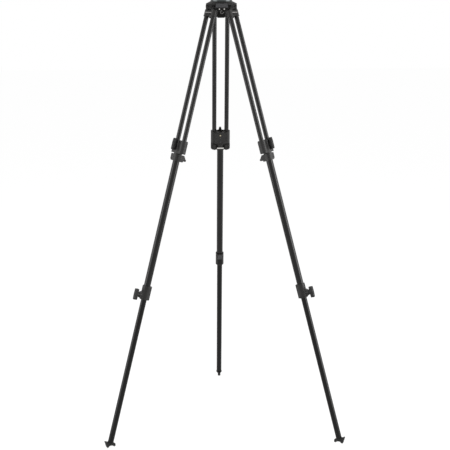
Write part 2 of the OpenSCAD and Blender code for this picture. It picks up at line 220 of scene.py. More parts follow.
class Shading(Tree):
    """One material's node tree, with the patterns that the finishes share."""

    # Sockets of a colour mix
    MIX_SHARE, MIX_FIRST, MIX_SECOND, MIX_RESULT = 0, 6, 7, 2
    # Noise values at its dark and its light grains
    GRAINS = (0.3, 0.7)
    # Rounding that finds an edge, how far the normal turns there, and how the lighter edge, partly
    # rubbing and partly painted highlight, breaks up
    EDGE_RADIUS = 0.0009
    EDGE_TURN = (0.97, 0.8)
    EDGE_BREAK = (0.3, 1.0)

    def __init__(self, name: str) -> None:
        """Start a material with its surface shader.

        Args:
            name: The material's name.
        """
        self.material = bpy.data.materials.new(name)
        self.material.use_nodes = True
        super().__init__(self.material.node_tree)
        self.shader = self.nodes["Principled BSDF"]

    def set(self, name: str, value: float | Sequence[float]) -> None:
        """Set an input of the surface shader."""
        self.shader.inputs[name].default_value = value

    def place(self) -> Socket:
        """Object coordinates, which are the tripod's own."""
        return self.add("TexCoord").outputs["Object"]

    def noise(self, vector: Socket, scale: float, detail: float) -> Socket:
        """Add a noise pattern.

        Args:
            vector: The coordinates it reads.
            scale: Grains per metre.
            detail: Octaves of finer grain.

        Returns:
            Its value, from 0 to 1.
        """
        node = self.add("TexNoise")
        node.inputs["Scale"].default_value = scale
        node.inputs["Detail"].default_value = detail
        self.link(vector, node.inputs["Vector"])
        return node.outputs["Fac"]

    def spread(self, value: Socket, low: float, high: float) -> Socket:
        """Stretch a noise value over a range.

        Args:
            value: The noise.
            low: Result at its dark grains.
            high: Result at its light grains.

        Returns:
            The stretched value.
        """
        return self.ramp(value, self.GRAINS, low, high)

    def tint(self, colour: Point, value: Socket, amount: float) -> Socket:
        """Vary a colour around its own value.

        Args:
            colour: The colour, linear.
            value: The noise that drives it.
            amount: Share by which it gets darker and lighter.

        Returns:
            The varied colour.
        """
        node = self.add("Mix", data_type="RGBA")
        dark = [c * (1.0 - amount) for c in colour]
        light = [c * (1.0 + amount) for c in colour]
        node.inputs[self.MIX_FIRST].default_value = (*dark, 1.0)
        node.inputs[self.MIX_SECOND].default_value = (*light, 1.0)
        self.link(self.spread(value, 0.0, 1.0), node.inputs[self.MIX_SHARE])
        return node.outputs[self.MIX_RESULT]

    def worn_and_lit(self, colour: Socket, rubbed_and_lit: Point, value: Socket, amount: float) -> Socket:
        """Let the edges show a lighter colour, partly wear where hands and straps rub and partly a
        painted highlight along the edges.

        Args:
            colour: The colour of the faces.
            rubbed_and_lit: The colour of the lighter edges, linear, part rubbed paint and part
                painted highlight.
            value: The noise that breaks the edges up.
            amount: Share of that lighter colour at a sharp edge.

        Returns:
            The colour with its edges.
        """
        rounding = self.add("Bevel", samples=4)
        rounding.inputs["Radius"].default_value = self.EDGE_RADIUS
        turn = self.add("VectorMath", operation="DOT_PRODUCT")
        self.link(rounding.outputs["Normal"], turn.inputs[0])
        self.link(self.add("NewGeometry").outputs["Normal"], turn.inputs[1])
        broken = self.add("Math", operation="MULTIPLY")
        self.link(self.ramp(turn.outputs["Value"], self.EDGE_TURN, 0.0, amount), broken.inputs[0])
        self.link(self.spread(value, *self.EDGE_BREAK), broken.inputs[1])
        node = self.add("Mix", data_type="RGBA")
        node.inputs[self.MIX_SECOND].default_value = (*rubbed_and_lit, 1.0)
        self.link(broken.outputs["Value"], node.inputs[self.MIX_SHARE])
        self.link(colour, node.inputs[self.MIX_FIRST])
        return node.outputs[self.MIX_RESULT]

    def paint(self, colour: Socket) -> None:
        """Give the surface its colour."""
        self.link(colour, self.shader.inputs["Base Color"])

    def roughen(self, value: Socket, low: float, high: float) -> None:
        """Let a pattern vary the roughness.

        Args:
            value: The pattern.
            low: Roughness at its dark grains.
            high: Roughness at its light grains.
        """
        self.link(self.spread(value, low, high), self.shader.inputs["Roughness"])

    def emboss(self, value: Socket, strength: float, depth: float) -> None:
        """Let a pattern stand out of the surface.

        Args:
            value: The pattern.
            strength: Share of its relief that shows.
            depth: Height of its relief in metres.
        """
        node = self.add("Bump")
        node.inputs["Strength"].default_value = strength
        node.inputs["Distance"].default_value = depth
        self.link(value, node.inputs["Height"])
        self.link(node.outputs["Normal"], self.shader.inputs["Normal"])


@dataclass(frozen=True)
class Satin:
    """A painted or moulded surface with a fine grain and a little mottling."""

    name: str
    colour: Point
    roughness: float
    specular: float = 0.35
    grain: float = 900.0
    relief: float = 0.25
    mottling: float = 0.25
    metallic: float = 0.0
    # Share of lighter colour at sharp edges, partly wear and partly painted highlight
    edge_wear_and_highlight: float = 0.0
    clouds: float = 38.0
    uneven: float = 0.06
    rubbed_and_lit_gain: float = 4.0
    rubbed_and_lit_lift: float = 0.01

    def build(self) -> Material:
        """Make the material.

        Returns:
            The finished material.
        """
        tree = Shading(self.name)
        place = tree.place()
        fine = tree.noise(place, self.grain, detail=4.0)
        broad = tree.noise(place, self.clouds, detail=5.0)
        colour = tree.tint(self.colour, broad, self.mottling)
        # Lighter edges: partly wear, partly painted highlight
        if self.edge_wear_and_highlight:
            rubbed_and_lit = tuple(self.rubbed_and_lit_gain * c + self.rubbed_and_lit_lift for c in self.colour)
            colour = tree.worn_and_lit(colour, rubbed_and_lit, broad, self.edge_wear_and_highlight)
        tree.paint(colour)
        tree.roughen(fine, self.roughness - self.uneven, self.roughness + self.uneven)
        tree.emboss(fine, self.relief, depth=0.00012)
        tree.set("Specular IOR Level", self.specular)
        tree.set("Metallic", self.metallic)
        return tree.material


@dataclass(frozen=True)
class Anodised:
    """Black anodised tube with drawing lines along its leg."""

    name: str
    azimuth: float
    colour: Point
    roughness: float = 0.19
    specular: float = 0.3
    streaks: float = 700.0
    drawn: float = 0.012
    clouds: float = 22.0
    mottling: float = 0.3
    uneven: float = 0.03

    def build(self) -> Material:
        """Make the material, with its lines turned along the leg.

        Returns:
            The finished material.
        """
        tree = Shading(self.name)
        swing = tree.add("Mapping")
        swing.inputs["Rotation"].default_value = (0.0, 0.0, -math.radians(self.azimuth))
        tree.link(tree.place(), swing.inputs["Vector"])
        lean = tree.add("Mapping")
        lean.inputs["Rotation"].default_value = (0.0, STANCE.angle, 0.0)
        tree.link(swing.outputs["Vector"], lean.inputs["Vector"])
        draw = tree.add("Mapping")
        draw.inputs["Scale"].default_value = (1.0, 1.0, self.drawn)
        tree.link(lean.outputs["Vector"], draw.inputs["Vector"])
        lines = tree.noise(draw.outputs["Vector"], self.streaks, detail=3.0)
        cloud = tree.noise(lean.outputs["Vector"], self.clouds, detail=4.0)
        tree.paint(tree.tint(self.colour, cloud, self.mottling))
        tree.roughen(lines, self.roughness - self.uneven, self.roughness + self.uneven)
        tree.emboss(lines, strength=0.03, depth=0.00003)
        tree.set("Specular IOR Level", self.specular)
        return tree.material


@dataclass(frozen=True)
class Turned:
    """Machined alloy with fine turning rings around the tripod's axis."""

    name: str
    colour: Point
    roughness: float = 0.36
    metallic: float = 0.75
    rings: float = 260.0
    waviness: float = 0.4
    clouds: float = 60.0
    mottling: float = 0.12
    smoother: float = 0.05
    rougher: float = 0.08

    def build(self) -> Material:
        """Make the material.

        Returns:
            The finished material.
        """
        tree = Shading(self.name)
        place = tree.place()
        wave = tree.add("TexWave", wave_type="RINGS", rings_direction="Z")
        wave.inputs["Scale"].default_value = self.rings
        wave.inputs["Distortion"].default_value = self.waviness
        tree.link(place, wave.inputs["Vector"])
        rings = wave.outputs["Fac"]
        cloud = tree.noise(place, self.clouds, detail=4.0)
        tree.paint(tree.tint(self.colour, cloud, self.mottling))
        tree.roughen(rings, self.roughness - self.smoother, self.roughness + self.rougher)
        tree.emboss(rings, strength=0.15, depth=0.00004)
        tree.set("Metallic", self.metallic)
        return tree.material


Finish = Satin | Anodised | Turned


class Palette:
    """All finishes of the tripod, each made once."""

    # This finish also paints shade: the skin on the fork's front, the sheet on its inner side and
    # the sheet on the hook's plate
    CROWN = Satin("crown_black", (0.0058, 0.0055, 0.0051), 0.48, 0.12, edge_wear_and_highlight=0.5)
    HOOK = Satin("hook_grey", (0.075, 0.073, 0.07), 0.42, 0.4, 1500.0, 0.1, 0.1, edge_wear_and_highlight=0.4)
    CAST = Satin("cast_black", (0.0105, 0.0098, 0.0092), 0.44, 0.28, edge_wear_and_highlight=0.6)
    CAST_SOFT = Satin("cast_charcoal", (0.0145, 0.014, 0.0135), 0.46, 0.3, edge_wear_and_highlight=0.6)
    # This lighter grey also paints highlight: on the crown's plates and as glints on the mid block
    PLATE = Satin("plate_grey", (0.04, 0.04, 0.042), 0.5, 0.35, 1400.0, 0.12, 0.1, edge_wear_and_highlight=0.5)
    MOULDED = Satin("moulded_black", (0.008, 0.008, 0.008), 0.46, 0.28, 1300.0, 0.3, 0.2, edge_wear_and_highlight=0.5)
    # This finish also paints shade: the strips under the hood's edge and the plate under the
    # clamp's pad
    RUBBER = Satin("rubber_black", (0.006, 0.006, 0.006), 0.68, 0.2, 1100.0, 0.4, 0.2)
    BAND = Satin("band_grey", (0.19, 0.182, 0.177), 0.45, 0.5, 1500.0, 0.1, 0.1, 0.4)
    STEEL = Satin("bright_steel", (0.62, 0.61, 0.58), 0.3, 0.5, 1600.0, 0.08, 0.12, 1.0)
    BRASS = Satin("screw_brass", (0.45, 0.4, 0.29), 0.3, 0.5, 1600.0, 0.08, 0.12, 1.0)
    NYLON = Satin("natural_nylon", (0.6, 0.585, 0.54), 0.5, 0.4, 900.0, 0.15, 0.08)
    BOWL = Turned("bowl_alloy", (0.062, 0.07, 0.069))
    TUBES = {
        "upper_tubes": ((0.0085, 0.0083, 0.008), 0.28),
        "middle_tube": ((0.0055, 0.0053, 0.005), 0.26),
        "lower_tube": ((0.0034, 0.0033, 0.0032), 0.2),
    }

    def __init__(self) -> None:
        """Start with no material made."""
        self.made: dict[str, Material] = {}

    def get(self, finish: Finish) -> Material:
        """Look a finish up, and make it the first time.

        Args:
            finish: The finish that is wanted.

        Returns:
            Its material.
        """
        if finish.name not in self.made:
            self.made[finish.name] = finish.build()
        return self.made[finish.name]

    def tube(self, leg: Leg, tube: str) -> Material:
        """The finish of one tube, with its lines along that leg.

        Args:
            leg: The leg that is meant.
            tube: The tube's name without the leg's.

        Returns:
            The tube's material.
        """
        colour, specular = self.TUBES[tube]
        return self.get(Anodised(f"{leg.word}_{tube}_black", leg.value, colour, specular=specular))


PALETTE = Palette()


# Modelling tools


def deselect_all() -> None:
    """Leave edit mode and select nothing."""
    if bpy.context.object and bpy.context.object.mode != "OBJECT":
        bpy.ops.object.mode_set(mode="OBJECT")
    bpy.ops.object.select_all(action="DESELECT")


def activate(piece: Piece) -> None:
    """Select one piece alone and make it active."""
    deselect_all()
    piece.select_set(True)
    bpy.context.view_layer.objects.active = piece


@contextmanager
def editing(piece: Piece) -> Iterator[None]:
    """Hold a piece in edit mode.

    Args:
        piece: The piece to edit.

    Returns:
        Nothing; the mode ends with the block.
    """
    activate(piece)
    bpy.ops.object.mode_set(mode="EDIT")
    try:
        yield
    finally:
        bpy.ops.object.mode_set(mode="OBJECT")


def facing(direction: Point) -> FaceTest:
    """Make a test for faces that point one way.

    Args:
        direction: The way, of length 1.

    Returns:
        The test of a face's centre and normal.
    """
    way = Vector(direction)
    return lambda centre, normal: normal.dot(way) > FACING


def pick_faces(piece: Piece, wanted: FaceTest) -> None:
    """Select faces in edit mode by their place and normal.

    Args:
        piece: The piece in edit mode.
        wanted: Test of a face's centre and normal.
    """
    bpy.ops.mesh.select_mode(type="FACE")
    bpy.ops.mesh.select_all(action="DESELECT")
    mesh = bmesh.from_edit_mesh(piece.data)
    for face in mesh.faces:
        if wanted(face.calc_center_median(), face.normal):
            face.select_set(True)
    bmesh.update_edit_mesh(piece.data)


def push(offset: Point) -> None:
    """Extrude the selected faces by an offset."""
    bpy.ops.mesh.extrude_region_move(TRANSFORM_OT_translate={"value": offset})


def stretch(factors: Point, centre: Point) -> None:
    """Scale what is selected about a centre."""
    bpy.ops.transform.resize(value=factors, center_override=centre)


def sink(piece: Piece, wanted: FaceTest, rim: float, offset: Point) -> None:
    """Sink a field into a face and leave a rim around it.

    Args:
        piece: The piece in edit mode.
        wanted: Test of the face.
        rim: Width of the rim.
        offset: How far the field moves.
    """
    pick_faces(piece, wanted)
    bpy.ops.mesh.inset(thickness=rim, depth=0.0)
    push(offset)


def settle(piece: Piece) -> None:
    """Put a piece's place, turn and scale into its mesh."""
    activate(piece)
    bpy.ops.object.transform_apply(location=True, rotation=True, scale=True)


def add_box(name: str, low: Point, high: Point) -> Piece:
    """Add a box between two corners.

    Args:
        name: Name of the piece.
        low: Its lowest corner.
        high: Its highest corner.

    Returns:
        The box, with its place in its mesh.
    """
    deselect_all()
    middle = [(a + b) / 2 for a, b in zip(low, high)]
    bpy.ops.mesh.primitive_cube_add(size=1.0, location=middle)
    piece = bpy.context.object
    piece.name = name
    piece.scale = [b - a for a, b in zip(low, high)]
    settle(piece)
    return piece


def add_rod(
    name: str, radius: float, start: Point, end: Point, sides: int = 48, hollow: bool = False
) -> Piece:
    """Add a round bar between two points.

    Args:
        name: Name of the piece.
        radius: Its radius.
        start: Middle of its first end.
        end: Middle of its second end.
        sides: Faces around it.
        hollow: Whether its ends stay open.

    Returns:
        The bar, with its place in its mesh.
    """
    deselect_all()
    first, last = Vector(start), Vector(end)
    bpy.ops.mesh.primitive_cylinder_add(
        vertices=sides,
        radius=radius,
        depth=(last - first).length,
        end_fill_type="NOTHING" if hollow else "NGON",
        location=(first + last) / 2,
        rotation=(last - first).to_track_quat("Z", "Y").to_euler(),
    )
    piece = bpy.context.object
    piece.name = name
    settle(piece)
    return piece


def soften(piece: Piece, width: float, steps: int = 2) -> None:
    """Round a piece's sharp edges.

    Args:
        piece: The piece.
        width: Width of the rounding.
        steps: Faces across it.
    """
    activate(piece)
    bpy.ops.object.modifier_add(type="BEVEL")
    edge = piece.modifiers[-1]
    edge.width = width
    edge.segments = steps
    edge.limit_method = "ANGLE"
    edge.angle_limit = SHARP
    bpy.ops.object.modifier_apply(modifier=edge.name)


def thicken(piece: Piece, wall: float) -> None:
    """Give an open sheet a wall on its outer side.

    Args:
        piece: The sheet.
        wall: Thickness of the wall.
    """
    activate(piece)
    bpy.ops.object.modifier_add(type="SOLIDIFY")
    sheet = piece.modifiers[-1]
    sheet.thickness = wall
    sheet.offset = 1.0
    bpy.ops.object.modifier_apply(modifier=sheet.name)


def cut_away(piece: Piece, place: Point, normal: Point) -> None:
    """Remove what lies behind a plane.

    Args:
        piece: The piece.
        place: A point on the plane.
        normal: The side that stays.
    """
    with editing(piece):
        bpy.ops.mesh.select_all(action="SELECT")
        bpy.ops.mesh.bisect(plane_co=place, plane_no=normal, clear_inner=True)


def join(name: str, pieces: Sequence[Piece]) -> Piece:
    """Make several pieces one.

    Args:
        name: Name of the result.
        pieces: The pieces, the first of which takes in the others.

    Returns:
        The joined piece.
    """
    deselect_all()
    for piece in pieces:
        piece.select_set(True)
    bpy.context.view_layer.objects.active = pieces[0]
    bpy.ops.object.join()
    pieces[0].name = name
    return pieces[0]


def copy_at(piece: Piece, name: str, matrix: Matrix) -> Piece:
    """Copy a piece, with a mesh of its own, to a new place.

    Args:
        piece: The pattern.
        name: Name of the copy.
        matrix: Where the copy goes.

    Returns:
        The copy, with its place in its mesh.
    """
    copy = piece.copy()
    copy.data = piece.data.copy()
    copy.name = name
    bpy.context.scene.collection.objects.link(copy)
    copy.matrix_world = matrix
    settle(copy)
    return copy


def discard(piece: Piece) -> None:
    """Remove a pattern whose copies are placed."""
    bpy.data.objects.remove(piece, do_unlink=True)


def join_copies(name: str, pattern: Piece, places: Sequence[Matrix]) -> Piece:
    """Copy a pattern to several places and make the copies one piece.

    Args:
        name: Name of the result.
        pattern: The pattern, which is removed.
        places: Where the copies go.

    Returns:
        The joined piece.
    """
    copies = [copy_at(pattern, "copy", place) for place in places]
    discard(pattern)
    return join(name, copies)


def dress(
    piece: Piece, finish: Finish, body: str, stands_for: Sequence[str] = ()
) -> None:
    """Finish a piece: material, smooth faces, the body it moves with and what it stands for.

    Args:
        piece: The piece.
        finish: Its finish.
        body: The body that carries it.
        stands_for: Solids that it replaces.
    """
    activate(piece)
    bpy.ops.object.shade_smooth_by_angle(angle=SMOOTH)
    piece.data.materials.append(PALETTE.get(finish))
    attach(piece, body)
    if stands_for:
        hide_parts(*stands_for)
    LOG.info("%s rides on %s", piece.name, body)


def dress_on_legs(
    pattern: Piece, finish: Finish, stage: Stage, replaced: str = ""
) -> None:
    """Copy a pattern from the leg's frame to all three legs and dress the copies.

    Args:
        pattern: The piece in the leg's own frame.
        finish: Its finish.
        stage: The moving body of the leg that carries it.
        replaced: The solid that it stands for, without the leg's name.
    """
    for leg in Leg:
        copy = copy_at(pattern, f"{leg.word}_{pattern.name}", STANCE.matrix(leg))
        nodes = [f"{leg.word}_{replaced}"] if replaced else []
        dress(copy, finish, stage.body(leg), nodes)
    discard(pattern)


# Sub-assemblies


@dataclass(frozen=True)
class SocketHead:
    """A round bolt head with a blind socket."""

    radius: float
    height: float
    rim: float
    depth: float
    edge: float

    def pair(self, name: str, reach: float, z: float) -> Piece:
        """Add two heads that look away from each other along Y.

        Args:
            name: Name of the pair.
            reach: Distance of each head's seat from the middle.
            z: Height of both heads.

        Returns:
            The pair as one piece.
        """
        heads = []
        for side in SIDES:
            seat, end = side * reach, side * (reach + self.height)
            head = add_rod("head", self.radius, (0.0, seat, z), (0.0, end, z))
            with editing(head):
                sink(head, facing((0.0, side, 0.0)), self.rim, (0.0, -side * self.depth, 0.0))
            soften(head, self.edge)
            heads.append(head)
        return join(name, heads)


@dataclass(frozen=True)
class Grip:
    """A bar on a hub and a stud, which a hand turns about the stud."""

    stud_start: float
    hub_start: float
    bar_start: float
    bar_end: float
    hub_edge: float
    half: float = 0.007
    core: float = 0.008
    hub_r: float = 0.008
    hub_seat: float = 0.003
    stud_r: float = 0.0039
    stud_seat: float = 0.001

    def bar(self, ends: Sequence[tuple[float, Steps]]) -> Piece:
        """Add the bar, with its ends drawn out in steps that narrow.

        Args:
            ends: Each end's way along Z, and the length and the narrowing of its steps.

        Returns:
            The bar, around the stud's axis.
        """
        low = (self.bar_start, -self.half, -self.core)
        bar = add_box("bar", low, (self.bar_end, self.half, self.core))
        middle_x = (self.bar_start + self.bar_end) / 2
        with editing(bar):
            for way, steps in ends:
                pick_faces(bar, facing((0.0, 0.0, way)))
                z = way * self.core
                for length, narrow in steps:
                    push((0.0, 0.0, way * length))
                    z += way * length
                    stretch((1.0, narrow, 1.0), (middle_x, 0.0, z))
        return bar

    def mount(self, name: str, bar: Piece, z: float) -> Piece:
        """Join the bar with its hub and its stud, and put it in its place.

        Args:
            name: Name of the result.
            bar: The finished bar.
            z: Height of the stud along the leg.

        Returns:
            The whole grip.
        """
        hub_end = (self.bar_start + self.hub_seat, 0.0, 0.0)
        hub = add_rod("hub", self.hub_r, (self.hub_start, 0.0, 0.0), hub_end)
        soften(hub, self.hub_edge)
        stud_end = (self.hub_start + self.stud_seat, 0.0, 0.0)
        stud = add_rod("stud", self.stud_r, (self.stud_start, 0.0, 0.0), stud_end, sides=32)
        soften(stud, SMALL)
        grip = join(name, [bar, hub, stud])
        grip.location = (0.0, 0.0, z)
        settle(grip)
        return grip


@dataclass
class Crown:
    """The cast crown: strips of painted shade under the hood's edge, web plates lighter with
    painted highlight, hinge caps and a dark sheet of painted shade on its hook's plate.
    """

    rim_z: float = STANCE.rim_z
    hood_r: float = 0.06
    hood_gap: float = 0.0001
    hood_top: float = -0.0163
    hood_bottom: float = -0.0198
    shade_strip_half: float = math.radians(23.0)
    shade_strip_t: float = 0.0006
    web_face: float = 0.0555
    plate_bottom: float = -0.0315
    plate_top: float = -0.016
    plate_half: float = 0.0245
    plate_narrow: float = 0.878
    plate_t: float = 0.0012
    plate_rim: float = 0.0014
    plate_sink: float = 0.0003
    bolt_end: float = 0.0313
    cap: SocketHead = SocketHead(radius=0.0056, height=0.0014, rim=0.0025, depth=0.0011, edge=FINE)
    hook_face: float = 0.0591
    hook_half: float = 0.0128
    hook_low: float = -0.0095
    hook_high: float = -0.0018
    shade_sheet_out: float = 0.0005
    shade_sheet_in: float = 0.0003

    def build(self) -> None:
        """Model and dress all pieces of the crown."""
        self.shade_strips()
        self.plates()
        self.bolt_caps()
        self.hook_shade_sheet()

    def shade_strips(self) -> None:
        """Dark strips in the hood's edge over each hinge: painted shade of the gap under the
        hood's edge.
        """
        strips = []
        for leg in Leg:
            azimuth = math.radians(leg.value)
            strip = add_rod(
                "strip",
                self.hood_r + self.hood_gap,
                (0.0, 0.0, self.rim_z + self.hood_bottom),
                (0.0, 0.0, self.rim_z + self.hood_top),
                sides=180,
                hollow=True,
            )
            for side in SIDES:
                keep = azimuth + side * (self.shade_strip_half - math.pi / 2)
                cut_away(strip, ORIGIN, (math.cos(keep), math.sin(keep), 0.0))
            thicken(strip, self.shade_strip_t)
            soften(strip, HAIR, steps=1)
            strips.append(strip)
        # Painted shade: the dark strips stand for the shadow under the hood's edge
        shade_strips = join("hood_shade_strips", strips)
        dress(shade_strips, Palette.RUBBER, "crown")

    def plates(self) -> None:
        """Bevelled plates on the three flat faces, each opposite a leg, lighter grey as a painted
        highlight of the light that falls on those faces.
        """
        bottom, top = self.rim_z + self.plate_bottom, self.rim_z + self.plate_top
        low = (self.web_face, -self.plate_half, bottom)
        plate = add_box("plate", low, (self.web_face + self.plate_t, self.plate_half, top))
        with editing(plate):
            pick_faces(plate, facing(UP))
            stretch((1.0, self.plate_narrow, 1.0), (self.web_face, 0.0, top))
            sink(plate, facing(OUT), self.plate_rim, (-self.plate_sink, 0.0, 0.0))
        soften(plate, SMALL)
        turns = [Matrix.Rotation(math.radians(leg.value + 180.0), 4, "Z") for leg in Leg]
        plates = join_copies("crown_plates", plate, turns)
        # Painted highlight: the lighter grey stands for light on the flat faces
        dress(plates, Palette.PLATE, "crown", ["web_plates"])

    def bolt_caps(self) -> None:
        """Socket heads on both ends of the hinge bolts."""
        pair = self.cap.pair("cap_pair", self.bolt_end, 0.0)
        caps = join_copies("hinge_caps", pair, [STANCE.hinge(leg) for leg in Leg])
        dress(caps, Palette.CAST_SOFT, "crown")

    def hook_shade_sheet(self) -> None:
        """A thin dark sheet on the front of the hook's plate, under the screw heads: painted shade
        of the shadow under the crown's front web.
        """
        low = (-self.hook_half, -self.hook_face - self.shade_sheet_out, self.hook_low)
        high = (self.hook_half, -self.hook_face + self.shade_sheet_in, self.hook_high)
        shade_sheet = add_box("hook_shade_sheet", low, high)
        soften(shade_sheet, FINE)
        # Painted shade under the crown's front web
        dress(shade_sheet, Palette.CROWN, "crown")


@dataclass
class Yoke:
    """The fork at the top of a leg: a dark skin of painted shade on its front, a light strip,
    socket lips and a dark sheet of painted shade on its inner side.
    """

    socket_r: float = 0.0115
    half_spacing: float = 0.0255
    front_x: float = 0.0088
    face_x: float = 0.0098
    cheek_in: float = 0.0135
    cheek_out: float = 0.0281
    cheek_top: float = 0.0052
    cheek_drop: float = 0.008
    bar_x: float = 0.0094
    bar_half: float = 0.021
    bar_top: float = -0.0103
    bar_bottom: float = -0.0324
    band_x: float = 0.0117
    band_half: float = 0.022
    band_low: float = -0.0214
    band_high: float = -0.0176
    band_edge: float = 0.0005
    lip_low: float = -0.0342
    lip_high: float = -0.0312
    lip_t: float = 0.0009
    inner_shade_in: float = -0.0083
    inner_shade_out: float = -0.0062
    inner_shade_half: float = 0.0172
    inner_shade_low: float = -0.0332
    inner_shade_high: float = -0.0145
    inner_shade_drop: float = 0.005
    inner_shade_taper: float = 0.76

    def build(self) -> None:
        """Model and dress the front's painted shade, the strip, the lips and the inner side's
        painted shade.
        """
        # Painted shade: a dark skin on the fork's outward front
        dress_on_legs(self.face(), Palette.CROWN, Stage.UPPER)
        dress_on_legs(self.band(), Palette.BAND, Stage.UPPER)
        dress_on_legs(self.lips(), Palette.CAST, Stage.UPPER)
        # Painted shade: a dark sheet on the fork's inner side
        dress_on_legs(self.inner_shade(), Palette.CROWN, Stage.UPPER)

    def face(self) -> Piece:
        """A thin dark skin on the fork's front, the bar and both cheeks: painted shade that makes
        these outward faces darker than the casting.

        Returns:
            The skin in the leg's frame.
        """
        low = (self.front_x, -self.bar_half, self.bar_bottom)
        skins = [add_box("bar_skin", low, (self.bar_x, self.bar_half, self.bar_top))]
        for side in SIDES:
            near, far = sorted((side * self.cheek_in, side * self.cheek_out))
            low = (self.front_x, near, self.bar_top - self.cheek_drop)
            skins.append(add_box("cheek_skin", low, (self.face_x, far, self.cheek_top)))
        for skin in skins:
            soften(skin, FINE)
        return join("yoke_face", skins)

    def band(self) -> Piece:
        """A plain light strip across the front of the fork, from socket to socket.

        Returns:
            The strip in the leg's frame.
        """
        low = (self.front_x, -self.band_half, self.band_low)
        strip = add_box("yoke_strip", low, (self.band_x, self.band_half, self.band_high))
        soften(strip, self.band_edge)
        return strip

    def lips(self) -> Piece:
        """Raised lips around the mouths of both sockets.

        Returns:
            The lips in the leg's frame.
        """
        lips = []
        for side in SIDES:
            y = side * self.half_spacing
            low, high = (0.0, y, self.lip_low), (0.0, y, self.lip_high)
            lip = add_rod("lip", self.socket_r, low, high, sides=64, hollow=True)
            thicken(lip, self.lip_t)
            soften(lip, FINE)
            lips.append(lip)
        return join("socket_lips", lips)

    def inner_shade(self) -> Piece:
        """A dark sheet on the bar's side towards the axis, which tapers a little below the bar:
        painted shade where the crown shades the fork.

        Returns:
            The sheet in the leg's frame.
        """
        low = (self.inner_shade_in, -self.inner_shade_half, self.inner_shade_low)
        inner_shade = add_box("yoke_inner_shade", low, (self.inner_shade_out, self.inner_shade_half, self.inner_shade_high))
        with editing(inner_shade):
            pick_faces(inner_shade, facing(DOWN))
            push((0.0, 0.0, -self.inner_shade_drop))
            stretch((1.0, self.inner_shade_taper, 1.0), (0.0, 0.0, self.inner_shade_low))
        soften(inner_shade, SMALL)
        return inner_shade


@dataclass
class MidBlock:
    """The block under the twin tubes: its inner face and its locking lever."""

    top: float = -0.526
    bottom: float = -0.578
    face_x: float = -0.0181
    face_out: float = -0.0191
    face_seat: float = 0.0002
    face_half: float = 0.025
    face_rise: float = 0.003
    face_drop: float = 0.0045
    face_rim: float = 0.0028
    face_sink: float = 0.0007
    rib_drop: float = 0.031
    rib_half: float = 0.0215
    rib_t: float = 0.0011
    screw_drop: float = 0.015
    well_r: float = 0.0056
    well_out: float = 0.0004
    well_rim: float = 0.0018
    well_depth: float = 0.001
    pointer_drop: float = 0.044
    pointer_r: float = 0.0045
    pointer_t: float = 0.0012
    pointer_rim: float = 0.0011
    pointer_rise: float = 0.0003
    dot_drop: float = 0.0265
    dot_r: float = 0.0016
    dot_t: float = 0.0013
    lever_drop: float = 0.024
    lever_edge: float = 0.0016
    hollow_rim: float = 0.0014
    hollow_depth: float = 0.0016
    grip: Grip = Grip(0.0176, 0.0192, 0.0208, 0.0333, SMALL)
    rise: Steps = ((0.01, 0.9), (0.007, 0.76), (0.003, 0.6))
    fall: Steps = ((0.006, 0.9), (0.004, 0.7))

    def build(self) -> None:
        """Model and dress the face, its painted glints and the lever."""
        dress_on_legs(self.face(), Palette.CAST_SOFT, Stage.UPPER)
        # Painted highlight: a light triangle and a dot stand for glints on the face
        dress_on_legs(self.mark(), Palette.PLATE, Stage.UPPER)
        lever = self.lever()
        dress_on_legs(lever, Palette.MOULDED, Stage.MID_LEVER, "mid_knob")

    def face(self) -> Piece:
        """A framed panel with a rib and a screw well, on the side towards the axis.

        Returns:
            The panel in the leg's frame.
        """
        low = (self.face_out, -self.face_half, self.bottom + self.face_rise)
        high = (self.face_x + self.face_seat, self.face_half, self.top - self.face_drop)
        panel = add_box("panel", low, high)
        with editing(panel):
            sink(panel, facing(IN), self.face_rim, (self.face_sink, 0.0, 0.0))
        soften(panel, FINE)
        z = self.top - self.rib_drop
        low = (self.face_out, -self.rib_half, z - self.rib_t)
        rib = add_box("rib", low, (self.face_x, self.rib_half, z + self.rib_t))
        soften(rib, SMALL)
        z = self.top - self.screw_drop
        well_end = (self.face_out - self.well_out, 0.0, z)
        well = add_rod("well", self.well_r, (self.face_x, 0.0, z), well_end)
        with editing(well):
            sink(well, facing(IN), self.well_rim, (self.well_depth, 0.0, 0.0))
        soften(well, FINE)
        return join("block_face", [panel, rib, well])

    def mark(self) -> Piece:
        """A small raised light triangle and a dot on the inner face: painted glints.

        Returns:
            The two in the leg's frame.
        """
        x = self.face_x
        z = self.top - self.pointer_drop
        end = (x - self.pointer_t, 0.0, z)
        pointer = add_rod("pointer", self.pointer_r, (x, 0.0, z), end, sides=3)
        with editing(pointer):
            pick_faces(pointer, facing(IN))
            bpy.ops.mesh.inset(thickness=self.pointer_rim, depth=self.pointer_rise)
        soften(pointer, HAIR, steps=1)
        z = self.top - self.dot_drop
        dot = add_rod("dot", self.dot_r, (x, 0.0, z), (x - self.dot_t, 0.0, z), sides=24)
        soften(dot, SMALL)
        return join("block_mark", [pointer, dot])

    def lever(self) -> Piece:
        """The locking lever: a tapered arm with a finger hollow, a hub and its stud.

        Returns:
            The lever in the leg's frame.
        """
        arm = self.grip.bar(((1.0, self.rise), (-1.0, self.fall)))
        core = self.grip.core
        with editing(arm):
            sink(
                arm,
                lambda centre, normal: normal.x > FACING and centre.z > core,
                self.hollow_rim,
                (-self.hollow_depth, 0.0, 0.0),
            )
        soften(arm, self.lever_edge, steps=3)
        return self.grip.mount("lever", arm, self.top - self.lever_drop)


